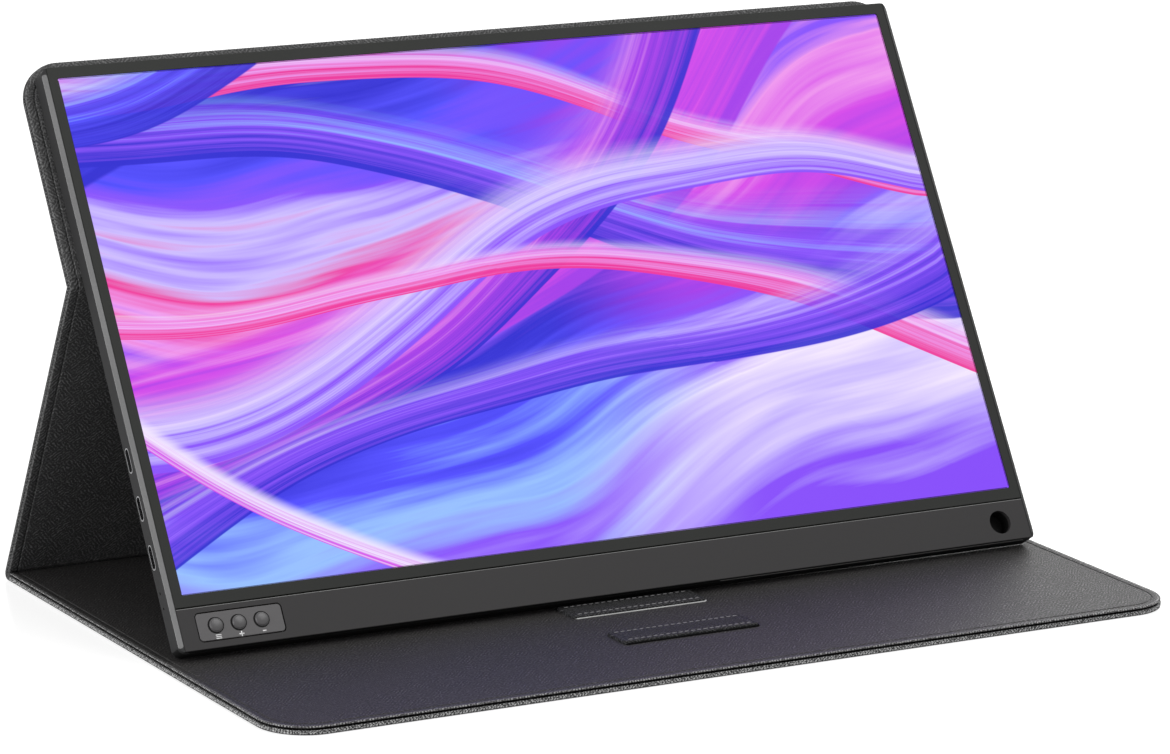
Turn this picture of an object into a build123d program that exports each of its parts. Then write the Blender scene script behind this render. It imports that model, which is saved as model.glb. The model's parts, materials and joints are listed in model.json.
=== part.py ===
from build123d import *
from math import asin, cos, degrees, radians, sin
import os

# Portable monitor standing on its folded leather folio, in millimetres.
# The origin is on the floor under the middle of the folio's base panel, X to the right,
# Y away from the viewer, Z up. Everything is shown as it stands in use.

# Screen and housing, measured on the housing's own face
screen_width = 344.2
screen_height = 193.6
chin_height = 15.8
below_screen = 4.6
housing_width = 355.0
housing_height = 218.2
housing_depth = 8.0
housing_corner = 3.0
chamfer_across = 1.7
chamfer_deep = 1.1
bezel_recess = 1.8
front_gap = 0.05
rear_round = 1.0
front_depth = 1.6
side_wall = 2.0
end_wall = 1.8
back_wall = 1.0
lip_chamfer = 0.5
edge_round = 0.25

# Layers behind the screen, as depths from the front face
film_front = 0.55
glass_front = 0.7
glass_back = 1.7
sheets_back = 2.0
guide_back = 2.6
mirror_back = 2.8
tray_back = 3.2
tray_rim = 0.35
glass_margin_x = 1.9
glass_margin_z = 2.3

# Folio
cover_width = 364.5
cover_thickness = 3.0
skin_thickness = 0.7
skin_edge = 1.7
lining_thickness = 0.7
lining_inset = 0.15
lining_round = 0.35
seam_depth = 0.8
turned_edge = 3.5
pressed_line = 0.4
pressed_depth = 0.3
fold_gap = 3.4
fold_room = 7.0
base_depth = 225.0
base_corner = 18.0
strut_length = 131.0
crease_height = 139.0
top_overlap = 5.1
top_corner = 15.0
bead_length = 2.0
fold_clearance = 0.3
pad_thickness = 0.4
magnet_radius = 6.0

# Standing pose
lean = 31.8
foot_clearance = 0.2

# Stop ridges on the base, behind which the housing's lower edge stands
ridge_length = 55.0
ridge_depth = 13.6
ridge_height = 1.4
rear_ridge_back = 3.6
ridge_pitch = 36.0

# Buttons in the chin
button_radius = 2.6
button_hole = 2.9
button_proud = 0.7
button_pitch = 8.8
button_z = 8.4
middle_button_x = -153.1
button_dome = 7.2
button_flange = 3.4
plate_centre_x = -152.6
plate_centre_z = 8.15
plate_width = 32.8
plate_height = 10.0
plate_groove = 0.4
plate_corner = 1.4
plate_flange = 1.0
switch_front = 4.3
switch_back = 5.1
button_board_back = 5.9

# Sockets in the left side wall
port_heights = {"usb_c_port_upper": 72.2, "usb_c_port_middle": 54.5, "usb_c_port_lower": 36.5}
port_length = 9.2
port_height = 3.3
port_wall = 0.4
port_reach = 8.1
port_depth = 5.15
light_heights = (23.4, 17.8)
light_radius = 0.5

# Round hole in the lower right corner, closed at the back
hole_x = 163.5
hole_z = 7.6
hole_radius = 4.5
hole_cup_radius = 5.6
hole_length = 6.4

# Electronics
board_front = 5.2
board_back = 6.2
chip_front = 4.3
board_left = -169.3
board_right = -96.0
board_low = 26.0
board_high = 84.0
boss_radius = 2.4
screw_radius = 0.8
screw_clearance = 0.05
screw_inset = 4.0

# Speakers behind slots in the back
speaker_x = 90.0
speaker_width = 30.0
speaker_low = 3.0
speaker_high = 14.0
slot_count = 7
slot_pitch = 3.4
slot_width = 1.2
slot_low = 4.0
slot_high = 11.0

half_cover = cover_width / 2
half_housing = housing_width / 2
port_mouth = -half_housing + 0.1
inner_x = half_housing - side_wall
recess_x = half_housing - bezel_recess
front_x = recess_x - front_gap
mid = cover_thickness / 2
screen_low = chin_height + below_screen
screen_high = screen_low + screen_height
inside_back = housing_depth - back_wall
panel_depth = housing_depth + pad_thickness + mid

# The housing's lowest point is its rounded lower rear edge
round_centre_drop = (housing_depth - rear_round) * sin(radians(lean)) - rear_round * cos(radians(lean))
foot_z = cover_thickness + foot_clearance + round_centre_drop + rear_round

# The crease is found from the housing, and the strut closes the triangle down to the rear fold
crease_z = foot_z + crease_height * cos(radians(lean)) - panel_depth * sin(radians(lean))
strut_angle = degrees(asin((crease_z - mid) / strut_length))
crease_angle = 90 + lean - strut_angle
rear_fold_y = base_depth / 2 - mid
crease_y = rear_fold_y - strut_length * cos(radians(strut_angle))
foot_y = crease_y - crease_height * sin(radians(lean)) - panel_depth * cos(radians(lean))

# Local frames: X across, Y outwards through the thickness, Z up along the panel
monitor_frame = Pos(0, foot_y, foot_z) * Rot(-lean, 0, 0)
upper_frame = monitor_frame * Pos(0, panel_depth, 0)
strut_frame = Pos(0, rear_fold_y, mid) * Rot(90 - strut_angle, 0, 0)
base_frame = Pos(0, rear_fold_y, mid) * Rot(90, 0, 0)


def block(x0, x1, y0, y1, z0, z1):
    """A box between two corners."""
    centre = Pos((x0 + x1) / 2, (y0 + y1) / 2, (z0 + z1) / 2)
    return centre * Box(x1 - x0, y1 - y0, z1 - z0)


def rod_through(x, z, radius, y0, y1):
    """A round bar along the depth."""
    return Pos(x, (y0 + y1) / 2, z) * Rot(90, 0, 0) * Cylinder(radius, y1 - y0)


def rod_across(y, z, radius, x0, x1):
    """A round bar along X."""
    return Pos((x0 + x1) / 2, y, z) * Rot(0, 90, 0) * Cylinder(radius, x1 - x0)


def plate(x0, x1, y0, y1, z0, z1, low=0.0, high=0.0):
    """A flat plate whose lower and upper corners are rounded, seen along Y."""
    solid = block(x0, x1, y0, y1, z0, z1)
    if low > 0:
        solid = fillet(solid.edges().filter_by(Axis.Y).group_by(Axis.Z)[0], low)
    if high > 0:
        solid = fillet(solid.edges().filter_by(Axis.Y).group_by(Axis.Z)[-1], high)
    return solid


def obround_across(z, length, height, x0, x1):
    """A bar along X with an obround section that is longest along Z."""
    radius = height / 2
    reach = (length - height) / 2
    middle = block(x0, x1, port_depth - radius, port_depth + radius, z - reach, z + reach)
    ends = [rod_across(port_depth, z + side * reach, radius, x0, x1) for side in (-1, 1)]
    return middle + ends[0] + ends[1]


# Housing

def rear_shell():
    """The metal back: walls, chamfered side edges, socket and speaker openings, board bosses."""
    shell = plate(-half_housing, half_housing, 0, housing_depth, 0, housing_height,
                  housing_corner, housing_corner)
    shell = fillet(shell.faces().sort_by(Axis.Y)[-1].edges(), rear_round)
    shell -= block(-recess_x, recess_x, -1, front_depth, -1, housing_height + 1)
    shell -= plate(-inner_x, inner_x, front_depth - 0.1, inside_back, end_wall,
                   housing_height - end_wall, 1.2, 1.2)
    edge = Polygon((half_housing - chamfer_across, -0.01), (half_housing + 1, -0.01),
                   (half_housing + 1, chamfer_deep + 1), (half_housing, chamfer_deep), align=None)
    right_edge = extrude(edge, housing_height)
    shell -= right_edge
    shell -= mirror(right_edge, Plane.YZ)
    lip = Polygon((front_depth - 1, -0.01), (front_depth + lip_chamfer, -0.01),
                  (front_depth - 1, lip_chamfer + 1), align=None)
    shell -= Pos(-inner_x, 0, 0) * extrude(Plane.YZ * lip, 2 * inner_x)
    for height in port_heights.values():
        shell -= obround_across(height, port_length + 0.2, port_height + 0.2,
                                -half_housing - 1, -inner_x + 1)
    for height in light_heights:
        shell -= rod_across(port_depth, height, light_radius, -half_housing - 1, -inner_x + 1)
    for side in (-1, 1):
        for step in range(slot_count):
            slot_x = side * speaker_x + (step - (slot_count - 1) / 2) * slot_pitch
            shell -= block(slot_x - slot_width / 2, slot_x + slot_width / 2, inside_back - 1,
                           housing_depth + 1, slot_low, slot_high)
    for x, z in board_screw_places():
        boss = rod_through(x, z, boss_radius, board_back, inside_back + 0.3)
        shell += boss - rod_through(x, z, screw_radius, board_back - 1, inside_back)
    return shell


def front_slab(low, high):
    """A slice of the housing's outline between two heights, as wide as the recess in its front."""
    outline = plate(-half_housing, half_housing, 0, front_depth, 0, housing_height,
                    housing_corner, housing_corner)
    return outline & block(-front_x, front_x, 0, front_depth, low, high)


def front_bezel():
    """The black frame around the screen, stepped at the back to hold the glass."""
    low = chin_height + 0.15
    frame = front_slab(low, housing_height)
    half = screen_width / 2
    frame = fillet(frame.faces().sort_by(Axis.Y)[0].edges(), edge_round)
    frame -= plate(-half, half, -1, front_depth + 1, screen_low, screen_high, 0.9, 0.9)
    frame -= glass_plate(glass_front, front_depth + 1, 0.1)
    return frame


def glass_plate(y0, y1, grow=0.0):
    """A sheet of the display's outer size, grown or shrunk all round."""
    half = screen_width / 2 + glass_margin_x + grow
    return block(-half, half, y0, y1, screen_low - glass_margin_z - grow,
                 screen_high + glass_margin_z + grow)


def chin_cover():
    """The bar below the screen, with its button opening and round hole."""
    bar = front_slab(0.3, chin_height - 0.15)
    bar = fillet(bar.faces().sort_by(Axis.Y)[0].edges(), edge_round)
    bar -= plate_solid(-1, front_depth + 1, plate_groove)
    bar -= rod_through(hole_x, hole_z, hole_radius, -1, front_depth + 1)
    return bar


def corner_hole_cup():
    """The cup behind the chin's round hole, standing on the inside of the back."""
    cup = rod_through(hole_x, hole_z, hole_cup_radius, front_depth, inside_back)
    return cup - rod_through(hole_x, hole_z, hole_radius, 0, hole_length)


# Display

def front_polarizer():
    """The film over the picture area, a little behind the bezel's face."""
    half = screen_width / 2 - 0.05
    return plate(-half, half, film_front, glass_front, screen_low + 0.05, screen_high - 0.05, 0.85, 0.85)


def display_panel():
    """The liquid crystal glass."""
    return glass_plate(glass_front, glass_back)


def panel_tray():
    """The thin metal tray behind the backlight, with its rim turned forward."""
    tray = glass_plate(glass_back, tray_back)
    return tray - glass_plate(glass_back - 1, mirror_back, -tray_rim)


def sheet(y0, y1, low=0.0):
    """A backlight sheet that lies inside the tray's rim."""
    half = screen_width / 2 + glass_margin_x - tray_rim - 0.1
    bottom = screen_low - glass_margin_z + tray_rim + 0.1 + low
    return block(-half, half, y0, y1, bottom, screen_high + glass_margin_z - tray_rim - 0.1)


def backlight_strip():
    """The row of lamps below the light guide."""
    half = screen_width / 2
    low = screen_low - glass_margin_z + tray_rim + 0.1
    strip = block(-half, half, sheets_back, guide_back, low, low + 0.6)
    for step in range(24):
        x = (step - 11.5) * 14.4
        strip += block(x - 1.5, x + 1.5, sheets_back, guide_back, low + 0.6, low + 1.1)
    return strip


# Electronics

def board_screw_places():
    """The four corners at which the main board is screwed down."""
    return [(x, z) for x in (board_left + screw_inset, board_right - screw_inset)
            for z in (board_low + screw_inset, board_high - screw_inset)]


def main_board():
    """The circuit board behind the sockets."""
    board = block(board_left, board_right, board_front, board_back, board_low, board_high)
    for x, z in board_screw_places():
        board -= rod_through(x, z, screw_radius + 0.3, board_front - 1, board_back + 1)
    return board


def board_screws():
    """Four screws through the board into the housing's bosses."""
    screws = []
    for x, z in board_screw_places():
        head = rod_through(x, z, 1.7, board_front - 0.6, board_front)
        shank = rod_through(x, z, screw_radius - screw_clearance, board_front, inside_back - 0.1)
        screws.append(head + shank)
    return Compound(screws)


def board_chips():
    """Scaler, power and socket controllers on the front of the board."""
    chips = [(-138, 56, 15, 15), (-116, 60, 9, 9), (-160, 45.5, 5, 5), (-160, 63.5, 5, 5),
             (-118, 36, 11, 7), (-140, 34, 7, 5)]
    return Compound([block(x - w / 2, x + w / 2, chip_front, board_front, z - h / 2, z + h / 2)
                     for x, z, w, h in chips])


def display_connector():
    """The socket on the board that the display's flat cable plugs into."""
    return block(-124, -102, tray_back + 0.3, board_front, 72, 78)


def display_cable():
    """The flat cable from the display tray to the board."""
    return block(-122, -104, tray_back, tray_back + 0.3, 30, 78)


def usb_port(z):
    """A socket's metal shell: an obround tube, open at both ends."""
    tube = obround_across(z, port_length, port_height, port_mouth, port_mouth + port_reach)
    return tube - obround_across(z, port_length - 2 * port_wall, port_height - 2 * port_wall,
                                 port_mouth - 1, port_mouth + port_reach + 1)


def socket_contacts():
    """What fills each socket's inner end, with the tongue that carries its contacts."""
    inner = port_mouth + port_reach
    shrink = 2 * port_wall + 0.1
    groups = []
    for z in port_heights.values():
        plug_stop = obround_across(z, port_length - shrink, port_height - shrink, inner - 1, inner)
        tongue = block(port_mouth + 1.2, inner - 0.5, port_depth - 0.35, port_depth + 0.35,
                       z - 3.3, z + 3.3)
        groups.append(plug_stop + tongue)
    return Compound(groups)


def indicator_light_pipes():
    """Two clear rods set back in the pinholes of the side wall."""
    return Compound([rod_across(port_depth, z, light_radius - 0.05, -half_housing + 0.8, -inner_x + 2)
                     for z in light_heights])


def speaker(side):
    """A flat speaker box behind the slots in the back."""
    x = side * speaker_x
    return block(x - speaker_width / 2, x + speaker_width / 2, front_depth + 0.4, inside_back,
                 speaker_low, speaker_high)


def support_pads():
    """Foam blocks that back the display tray."""
    places = [(-160, 200), (0, 200), (160, 200), (0, 60), (160, 60), (0, 125)]
    return Compound([block(x - 8, x + 8, tray_back, inside_back, z - 8, z + 8) for x, z in places])


def attachment_plates():
    """Steel strips inside the back, which the folio's magnets hold."""
    return Compound([block(x - 65, x + 65, inside_back - 0.5, inside_back, 160, 188) for x in (-85, 85)])


# Buttons

def button_places():
    """The buttons' names and places across the chin."""
    names = ("button_menu", "button_plus", "button_minus")
    return {name: middle_button_x + (step - 1) * button_pitch for step, name in enumerate(names)}


def plate_solid(y0, y1, grow=0.0):
    """The outline of the button plate, grown all round."""
    half = plate_width / 2 + grow
    rise = plate_height / 2 + grow
    return plate(plate_centre_x - half, plate_centre_x + half, y0, y1, plate_centre_z - rise,
                 plate_centre_z + rise, plate_corner + grow, plate_corner + grow)


def button_plate():
    """The inset plate with three holes, held by a flange behind the chin."""
    face = plate_solid(0, front_depth)
    face = fillet(face.faces().sort_by(Axis.Y)[0].edges(), edge_round)
    solid = face + plate_solid(front_depth, front_depth + 0.4, plate_flange)
    for x in button_places().values():
        solid -= rod_through(x, button_z, button_hole, -1, front_depth + 1)
    return solid


def button(x):
    """A domed key with a flange behind the plate and a stem towards its switch."""
    cap = rod_through(x, button_z, button_radius, -button_proud, front_depth + 0.5)
    cap &= Pos(x, button_dome - button_proud, button_z) * Sphere(button_dome)
    flange = rod_through(x, button_z, button_flange, front_depth + 0.5, front_depth + 1.0)
    stem = rod_through(x, button_z, 1.2, front_depth + 1.0, switch_front - 0.8)
    return cap + flange + stem


def button_switches():
    """Three push switches on the button board."""
    return Compound([block(x - 2.2, x + 2.2, switch_front, switch_back, button_z - 2.2, button_z + 2.2)
                     for x in button_places().values()])


def button_board():
    """The small board under the switches."""
    return block(-169, -137, switch_back, button_board_back, 3, 14)


def button_cable():
    """The flat cable from the button board up to the main board."""
    return block(-152, -146, button_board_back - 0.3, button_board_back, 14, board_low)


# Folio

def layers(z0, z1, outer, low_gap, low_room, high_round=0.0):
    """A panel's outer skin, its stiff board and its inner lining, parted by a seam round the edge.

    The inner layers stop short of a fold by low_gap, and the skin's pocket by low_room.
    """
    face = outer * mid
    pocket = face - outer * skin_thickness
    skin_top = face - outer * skin_edge
    board_top = -face + outer * lining_thickness
    closed = high_round > 0

    def slab(y0, y1, inset, low):
        x = half_cover - inset
        high = z1 - (inset if closed else 0)
        corner = max(high_round - inset, 0)
        return plate(-x, x, min(y0, y1), max(y0, y1), z0 + low, high, 0, corner)

    def core(y0, y1):
        x = half_cover - turned_edge
        corner = max(high_round - turned_edge, 0)
        return plate(-x, x, min(y0, y1), max(y0, y1), z0 + low_room, z1 - turned_edge, 0, corner)

    skin = slab(face, skin_top, 0, 0) - core(pocket, skin_top - outer)
    board = core(pocket, skin_top) + slab(skin_top, board_top, seam_depth, low_gap)
    lining = slab(board_top, -face, lining_inset, low_gap)
    inner_face = lining.faces().sort_by(Axis.Y)[0 if outer > 0 else -1]
    lining = fillet(inner_face.edges(), lining_round)
    line_floor = -face + outer * pressed_depth

    def inside_line(inset):
        x = half_cover - inset
        corner = max(high_round - inset, 0)
        return plate(-x, x, min(line_floor, -face - outer), max(line_floor, -face - outer),
                     z0 + low_gap + inset, z1 - inset, 0, corner)

    line = inside_line(turned_edge) - inside_line(turned_edge + pressed_line)
    return skin, board, lining - line


def bead(z, way):
    """The rolled end of the strut panel, round about the fold line."""
    far = z + way * bead_length
    roll = rod_across(0, z, mid, -half_cover, half_cover)
    return roll + block(-half_cover, half_cover, -mid, mid, min(z, far), max(z, far))


def fold_cutter(z, way):
    """The room that the strut and its rolled end need, in the strut's frame."""
    reach = mid + fold_clearance
    far = z + way * 12
    wide = half_cover + 1
    roll = rod_across(0, z, reach, -wide, wide)
    return roll + block(-wide, wide, -reach, reach, min(z, far), max(z, far))


def magnet(x, z, y0, y1):
    """A disc magnet let into a board."""
    return rod_through(x, z, magnet_radius, min(y0, y1), max(y0, y1))


def folio(nodes):
    """The three panels, their rolled folds, magnets, pads and stop ridges."""
    rear_cut = strut_frame * fold_cutter(0, 1)
    crease_cut = strut_frame * fold_cutter(strut_length, -1)
    magnet_low = mid - lining_thickness - 0.3
    magnet_high = mid - skin_thickness

    skin, board, lining = layers(0, base_depth - mid, -1, fold_gap, fold_room, base_corner)
    magnets = [magnet(x, 208, -magnet_high, magnet_low) for x in (-150, -110, 110, 150)]
    nodes["base_skin"] = base_frame * skin - rear_cut
    nodes["base_board"] = base_frame * (board - magnets)
    nodes["base_lining"] = base_frame * lining
    nodes["base_magnets"] = base_frame * Compound(magnets)

    skin, board, lining = layers(bead_length, strut_length - bead_length, 1, 0, turned_edge)
    nodes["strut_skin"] = strut_frame * skin
    nodes["strut_board"] = strut_frame * board
    nodes["strut_lining"] = strut_frame * lining
    nodes["rear_fold_bead"] = strut_frame * bead(0, 1)
    nodes["crease_bead"] = strut_frame * bead(strut_length, -1)

    skin, board, lining = layers(crease_height, housing_height + top_overlap, 1, fold_gap, fold_room,
                                 top_corner)
    magnets = [magnet(side * x, 174, magnet_high, -magnet_low) for side in (-1, 1) for x in (45, 85, 125)]
    nodes["upper_panel_skin"] = upper_frame * skin - crease_cut
    nodes["upper_panel_board"] = upper_frame * (board - magnets)
    nodes["upper_panel_lining"] = upper_frame * lining
    nodes["upper_panel_magnets"] = upper_frame * Compound(magnets)
    pads = [block(-150, 150, housing_depth, housing_depth + pad_thickness, z, z + 12) for z in (150, 198)]
    nodes["bonding_pads"] = monitor_frame * Compound(pads)

    for step, name in enumerate(("rear_stop_ridge", "front_stop_ridge")):
        back = foot_y + rear_ridge_back - step * ridge_pitch
        ridge = block(-ridge_length / 2, ridge_length / 2, back - ridge_depth, back,
                      cover_thickness, cover_thickness + ridge_height)
        ridge = fillet(ridge.edges().filter_by(Axis.Z), 1.5)
        nodes[name] = fillet(ridge.faces().sort_by(Axis.Z)[-1].edges(), 0.5)


def monitor(nodes):
    """The housing, display and electronics, in the housing's frame."""
    parts = {
        "rear_shell": rear_shell(),
        "front_bezel": front_bezel(),
        "chin_cover": chin_cover(),
        "corner_hole_cup": corner_hole_cup(),
        "front_polarizer": front_polarizer(),
        "display_panel": display_panel(),
        "diffuser_sheets": sheet(glass_back, sheets_back),
        "light_guide": sheet(sheets_back, guide_back, 1.2),
        "reflector_sheet": sheet(guide_back, mirror_back),
        "backlight_strip": backlight_strip(),
        "panel_tray": panel_tray(),
        "main_board": main_board(),
        "board_screws": board_screws(),
        "board_chips": board_chips(),
        "display_connector": display_connector(),
        "display_cable": display_cable(),
        "socket_contacts": socket_contacts(),
        "indicator_light_pipes": indicator_light_pipes(),
        "speaker_left": speaker(-1),
        "speaker_right": speaker(1),
        "support_pads": support_pads(),
        "attachment_plates": attachment_plates(),
        "button_plate": button_plate(),
        "button_switches": button_switches(),
        "button_board": button_board(),
        "button_cable": button_cable(),
    }
    for name, height in port_heights.items():
        parts[name] = usb_port(height)
    for name, x in button_places().items():
        parts[name] = button(x)
    for name, solid in parts.items():
        nodes[name] = monitor_frame * solid


nodes = {}
monitor(nodes)
folio(nodes)
os.makedirs("parts", exist_ok=True)
for name, solid in nodes.items():
    export_step(solid, f"parts/{name}.step")

print("nodes", len(nodes))
print("strut angle", round(strut_angle, 4), "crease angle", round(crease_angle, 4))
print("housing foot", round(foot_y, 4), round(foot_z, 4))
print("crease", round(crease_y, 4), round(crease_z, 4))
print("rear fold", rear_fold_y, mid)
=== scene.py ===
import json
import math

import bmesh
import bpy
import numpy as np
from mathutils import Matrix


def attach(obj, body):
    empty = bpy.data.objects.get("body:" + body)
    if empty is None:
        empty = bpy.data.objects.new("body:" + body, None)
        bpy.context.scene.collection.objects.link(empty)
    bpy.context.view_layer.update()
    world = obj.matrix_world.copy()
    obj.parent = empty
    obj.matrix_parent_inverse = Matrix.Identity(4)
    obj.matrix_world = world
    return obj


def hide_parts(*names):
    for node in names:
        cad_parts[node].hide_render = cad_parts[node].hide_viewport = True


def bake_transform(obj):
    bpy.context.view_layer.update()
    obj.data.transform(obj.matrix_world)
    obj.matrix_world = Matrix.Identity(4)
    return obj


# A portable monitor held up by its folded leather folio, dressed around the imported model
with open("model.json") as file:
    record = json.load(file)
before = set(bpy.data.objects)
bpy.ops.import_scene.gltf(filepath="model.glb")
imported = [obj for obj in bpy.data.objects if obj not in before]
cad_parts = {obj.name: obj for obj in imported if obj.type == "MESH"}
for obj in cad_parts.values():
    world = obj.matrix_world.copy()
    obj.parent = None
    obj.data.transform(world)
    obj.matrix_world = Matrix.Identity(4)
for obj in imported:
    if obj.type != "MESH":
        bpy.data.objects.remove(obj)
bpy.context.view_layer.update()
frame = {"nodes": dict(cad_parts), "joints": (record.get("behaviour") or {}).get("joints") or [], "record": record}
nodes = frame["nodes"]
joints = {joint["name"]: joint for joint in frame["joints"]}
print("loaded", len(nodes), "nodes")

mm = 0.001
across = np.array([1.0, 0.0, 0.0])
inward = np.array(joints["button_menu_press"]["axis"])  # into the housing, square to its face
upward = np.cross(across, inward)  # up the housing's face
rearPivot = np.array(joints["stand_fold"]["pos_m"])
creasePivot = np.array(joints["crease_fold"]["pos_m"])


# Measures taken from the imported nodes

def unit(way):
    return way / np.linalg.norm(way)


def corners(node):
    mesh = nodes[node].data
    places = np.empty(len(mesh.vertices) * 3)
    mesh.vertices.foreach_get("co", places)
    return places.reshape(-1, 3)


def makeAxes(origin, x, s, t):
    return {"origin": np.array(origin, float), "rows": np.array([x, s, t], float)}


def spanIn(node, axes):  # lowest and highest local x, s, t of a node, in millimetres
    local = (corners(node) - axes["origin"]) @ axes["rows"].T / mm
    return local.min(0), local.max(0)


def place(axes, local):  # local millimetres to metres in the frame
    return axes["origin"] + (np.asarray(local, float) * mm) @ axes["rows"]


# Lowest and highest place of a node, and axes that start at the middle between them
def centredOn(node, axes):
    low, high = spanIn(node, axes)
    return low, high, makeAxes(place(axes, (low + high) / 2 * (1, 1, 0)), *axes["rows"])


# Local axes: x across, s along the panel, t out of the face that the user sees
faceOrigin = (inward * (corners("chin_cover") @ inward).min()
              + upward * (corners("rear_shell") @ upward).min())
faceAxes = makeAxes(faceOrigin, across, upward, -inward)
strutWay = unit(creasePivot - rearPivot)
baseAxes = makeAxes(rearPivot, across, (0, -1, 0), (0, 0, 1))
strutAxes = makeAxes(rearPivot, across, strutWay, np.cross(across, strutWay))
upperAxes = makeAxes(creasePivot, across, upward, -inward)
strutLength = np.linalg.norm(creasePivot - rearPivot) / mm
baseLow, baseHigh = spanIn("base_skin", baseAxes)
halfCover, baseEnd, halfThick = baseHigh[0], baseHigh[1], -baseLow[2]
upperEnd = spanIn("upper_panel_skin", upperAxes)[1][1]
halfHousing, housingTop = spanIn("rear_shell", faceAxes)[1][:2]


# Shader building

def newTree(name):
    material = bpy.data.materials.new(name)
    material.use_nodes = True
    tree = material.node_tree
    return material, tree, tree.nodes["Principled BSDF"]


# An input is linked where another node gives its value, and set where it is plain
def fill(tree, made, inputs):
    for key, value in inputs.items():
        if isinstance(value, bpy.types.NodeSocket):
            tree.links.new(value, made.inputs[key])
        else:
            made.inputs[key].default_value = value


def add(tree, kind, inputs, **settings):
    made = tree.nodes.new("ShaderNode" + kind)
    for key, value in settings.items():
        setattr(made, key, value)
    fill(tree, made, inputs)
    return made


def calc(tree, operation, *values, clamp=False):
    return add(tree, "Math", dict(enumerate(values)), operation=operation, use_clamp=clamp).outputs[0]


# A value between two bounds, carried over evenly to two others and held there beyond them
def spread(tree, value, low, high, newLow, newHigh):
    inputs = {"Value": value, "From Min": low, "From Max": high, "To Min": newLow, "To Max": newHigh}
    return add(tree, "MapRange", inputs).outputs["Result"]


def ramp(tree, value, stops):
    made = add(tree, "ValToRGB", {"Fac": value})
    elements = made.color_ramp.elements
    while len(elements) < len(stops):
        elements.new(0.5)
    for element, (spot, colour) in zip(elements, stops):
        element.position = spot
        element.color = (*colour, 1)
    return made.outputs["Color"]


def blendColours(tree, share, first, second):
    return add(tree, "MixRGB", {"Fac": share, "Color1": first, "Color2": second}).outputs["Color"]


def noiseAt(tree, spot, scale, detail=2.0, roughness=0.5):
    inputs = {"Vector": spot, "Scale": scale, "Detail": detail, "Roughness": roughness}
    return add(tree, "TexNoise", inputs).outputs["Fac"]


def shade(colour, factor):
    return tuple(min(1.0, part * factor) for part in colour)


# Colour, roughness and relief of a finish, the relief's strength and its depth in millimetres
def dress(tree, shader, colour, roughness, height, strength, depth):
    relief = add(tree, "Bump", {"Height": height, "Strength": strength, "Distance": depth * mm})
    fill(tree, shader, {"Base Color": colour, "Roughness": roughness, "Normal": relief.outputs[0]})


# Imitation leather with a pressed cross grain: two families of slanted strokes, broken up by a fine
# noise, in patches where one family is stronger. Strokes stand up and are lighter and smoother than
# the hollows. An edge attribute is up to 1 on a ribbed edge, whose crests get a painted highlight:
# a lighter tone that stands in for light caught there.
grain = {"turns": (50, -43), "patches": 170, "breaks": 1000, "pores": 2400, "clouds": 16,
         "distortion": 5.5, "detail": 3.0, "detailScale": 2.2, "strokes": 0.75, "poreShare": 0.35,
         "heightShare": 0.85, "cloudShare": 0.22, "dark": 0.3, "depth": 0.12}


def leather(name, tone, colour, lightness, gloss, bump, pitch=0.9, glintTone=0.1):
    material, tree, shader = newTree(name)
    spots = add(tree, "TexCoord", {}).outputs["UV"]
    patches = spread(tree, noiseAt(tree, spots, grain["patches"], 2.0), 0.4, 0.6, 0.2, 1)
    shares = (patches, calc(tree, "SUBTRACT", 1.2, patches))
    height = None
    for turn, share in zip(grain["turns"], shares):
        turned = add(tree, "Mapping", {"Vector": spots, "Rotation": (0, 0, math.radians(turn))})
        waves = add(tree, "TexWave", {"Vector": turned.outputs[0], "Scale": 0.314 / (pitch * mm),
                                      "Distortion": grain["distortion"], "Detail": grain["detail"],
                                      "Detail Scale": grain["detailScale"]})
        ridge = calc(tree, "MULTIPLY", spread(tree, waves.outputs["Fac"], 0.35, 0.85, 0, 1), share)
        height = ridge if height is None else calc(tree, "MAXIMUM", height, ridge)
    breaks = spread(tree, noiseAt(tree, spots, grain["breaks"], 1.0), 0.38, 0.58, 0.25, 1)
    pores = noiseAt(tree, spots, grain["pores"], 3.0, 0.6)
    height = calc(tree, "MULTIPLY_ADD", calc(tree, "MULTIPLY", height, breaks), grain["strokes"],
                  calc(tree, "MULTIPLY", pores, grain["poreShare"]))
    cloud = noiseAt(tree, spots, grain["clouds"], 3.0)
    level = calc(tree, "ADD", calc(tree, "MULTIPLY", height, grain["heightShare"]),
                 calc(tree, "MULTIPLY", cloud, grain["cloudShare"]))
    stops = [(0.14, shade(colour, grain["dark"])), (0.42, colour), (0.9, shade(colour, lightness))]
    rub = add(tree, "Attribute", {}, attribute_name="rub").outputs["Fac"]
    # painted highlight: the crests of a rippled edge are blended towards a lighter tone
    glinted = calc(tree, "MULTIPLY", rub, spread(tree, height, 0.16, 0.46, 0, 1))
    dyed = blendColours(tree, glinted, ramp(tree, level, stops), (glintTone, glintTone, glintTone, 1))
    roughness = spread(tree, height, 0.2, 0.9, gloss + 0.14, gloss - 0.06)
    dress(tree, shader, dyed, roughness, height, bump, grain["depth"])
    shader.inputs["Specular IOR Level"].default_value = tone
    return material


# Moulded or painted surface: a cloudy tone, a fine grain in the relief and an uneven gloss
def moulded(name, colour, gloss, fineness, bump=0.12, metallic=0.0, specular=0.5, cloudiness=0.12):
    material, tree, shader = newTree(name)
    spots = add(tree, "TexCoord", {}).outputs["Object"]
    fine = noiseAt(tree, spots, fineness, 3.0, 0.6)
    cloud = noiseAt(tree, spots, 22, 3.0)
    level = calc(tree, "ADD", calc(tree, "MULTIPLY", fine, 0.5), calc(tree, "MULTIPLY", cloud, 0.5))
    stops = [(0.25, shade(colour, 1 - cloudiness)), (0.75, shade(colour, 1 + cloudiness))]
    roughness = spread(tree, level, 0.3, 0.7, gloss - 0.05, gloss + 0.06)
    dress(tree, shader, ramp(tree, level, stops), roughness, fine, bump, 0.05)
    shader.inputs["Metallic"].default_value = metallic
    shader.inputs["Specular IOR Level"].default_value = specular
    return material


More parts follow.
